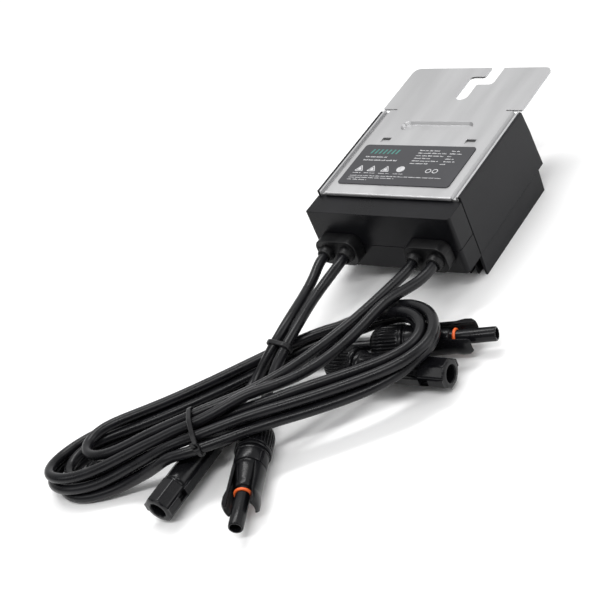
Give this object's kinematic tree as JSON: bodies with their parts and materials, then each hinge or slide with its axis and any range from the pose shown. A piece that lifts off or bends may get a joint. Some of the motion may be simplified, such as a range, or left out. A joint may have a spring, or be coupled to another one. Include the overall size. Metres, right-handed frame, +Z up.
{
  "type": "solar module power optimizer",
  "caption": "Black finned electronics box with a slotted silver mounting plate and cable leads that end in latching plug and socket connectors.",
  "frame": {"origin": "middle of the footprint of the box with its mounting plate and cable glands, on the surface that the fins stand on", "axes": "+Y from the cable glands towards the slotted end of the mounting plate, +Z up out of the label, +X to the right seen from the glands' side looking along +Y"},
  "size_m": [0.2241, 0.3451, 0.0568],
  "materials": {
    "black_anodised": "satin black anodised",
    "silver_sheet": "brushed sheet, light grey",
    "label_print": "satin printed film",
    "housing_plastic": "fine moulded texture",
    "gland_rubber": "matt",
    "zinc_steel": "zinc plated",
    "circuit_board": "solder mask",
    "ferrite": "matt dark grey",
    "copper": "enamelled copper",
    "gap_pad": "soft grey",
    "tinned_copper": "tin plated",
    "cable_jacket": "satin polyolefin jacket",
    "connector_plastic": "satin black moulding",
    "o_ring_silicone": "orange silicone"
  },
  "bodies": {
    "root": {"heat_sink": "black_anodised", "side_panel_left": "black_anodised", "side_panel_right": "black_anodised", "mounting_plate": "silver_sheet", "rating_label": "label_print", "housing_lower_shell": "housing_plastic", "housing_upper_shell": "housing_plastic", "housing_gasket": "gland_rubber", "heat_sink_screw_1": "zinc_steel", "heat_sink_screw_2": "zinc_steel", "heat_sink_screw_3": "zinc_steel", "heat_sink_screw_4": "zinc_steel", "circuit_board": "circuit_board", "inductor_core_1": "ferrite", "inductor_core_2": "ferrite", "inductor_winding_1": "copper", "inductor_winding_2": "copper", "input_capacitor": "zinc_steel", "output_capacitor": "zinc_steel", "power_transistor_1": "ferrite", "power_transistor_2": "ferrite", "controller_chip": "ferrite", "thermal_pad": "gap_pad", "cable_terminal_block": "tinned_copper", "grommet_in": "gland_rubber", "grommet_out": "gland_rubber", "cable_in_1": "cable_jacket", "cable_in_2": "cable_jacket", "cable_out_1": "cable_jacket", "cable_out_2": "cable_jacket", "cable_tie_1": "housing_plastic", "cable_tie_2": "housing_plastic", "male_1_body": "connector_plastic", "male_1_seal": "gland_rubber", "male_1_contact": "tinned_copper", "male_1_o_ring": "o_ring_silicone", "male_2_body": "connector_plastic", "male_2_seal": "gland_rubber", "male_2_contact": "tinned_copper", "male_2_o_ring": "o_ring_silicone", "female_1_body": "connector_plastic", "female_1_seal": "gland_rubber", "female_1_contact": "tinned_copper", "female_2_body": "connector_plastic", "female_2_seal": "gland_rubber", "female_2_contact": "tinned_copper"},
    "male_1_gland_nut": {"male_1_nut": "connector_plastic"},
    "male_1_latch_left_arm": {"male_1_latch_left": "connector_plastic"},
    "male_1_latch_right_arm": {"male_1_latch_right": "connector_plastic"},
    "male_2_gland_nut": {"male_2_nut": "connector_plastic"},
    "male_2_latch_left_arm": {"male_2_latch_left": "connector_plastic"},
    "male_2_latch_right_arm": {"male_2_latch_right": "connector_plastic"},
    "female_1_gland_nut": {"female_1_nut": "connector_plastic"},
    "female_2_gland_nut": {"female_2_nut": "connector_plastic"}
  },
  "joints": [
    {"name": "male_1_nut_turn", "type": "hinge", "parent": "root", "child": "male_1_gland_nut", "pos_m": [-0.016, -0.199, 0.0108], "axis": [0.4004, -0.9164, 0], "range_deg": [-360, 0]},
    {"name": "male_1_latch_left_flex", "type": "hinge", "parent": "root", "child": "male_1_latch_left_arm", "pos_m": [-0.01029, -0.23306, 0.0108], "axis": [0, 0, 1], "range_deg": [0, 6], "stiffness_Nm_per_rad": 1.2},
    {"name": "male_1_latch_right_flex", "type": "hinge", "parent": "root", "child": "male_1_latch_right_arm", "pos_m": [0.00511, -0.22634, 0.0108], "axis": [0, 0, -1], "range_deg": [0, 6], "stiffness_Nm_per_rad": 1.2},
    {"name": "male_2_nut_turn", "type": "hinge", "parent": "root", "child": "male_2_gland_nut", "pos_m": [0.018, -0.126, 0.0108], "axis": [0.9632, 0.2689, 0], "range_deg": [-360, 0]},
    {"name": "male_2_latch_left_flex", "type": "hinge", "parent": "root", "child": "male_2_latch_left_arm", "pos_m": [0.05252, -0.12508, 0.0108], "axis": [0, 0, 1], "range_deg": [0, 6], "stiffness_Nm_per_rad": 1.2},
    {"name": "male_2_latch_right_flex", "type": "hinge", "parent": "root", "child": "male_2_latch_right_arm", "pos_m": [0.04801, -0.1089, 0.0108], "axis": [0, 0, -1], "range_deg": [0, 6], "stiffness_Nm_per_rad": 1.2},
    {"name": "female_1_nut_turn", "type": "hinge", "parent": "root", "child": "female_1_gland_nut", "pos_m": [-0.041, -0.187, 0.0108], "axis": [0, -1, 0], "range_deg": [-360, 0]},
    {"name": "female_2_nut_turn", "type": "hinge", "parent": "root", "child": "female_2_gland_nut", "pos_m": [-0.002, -0.1435, 0.0108], "axis": [0.999, 0.0454, 0], "range_deg": [-360, 0]}
  ]
}
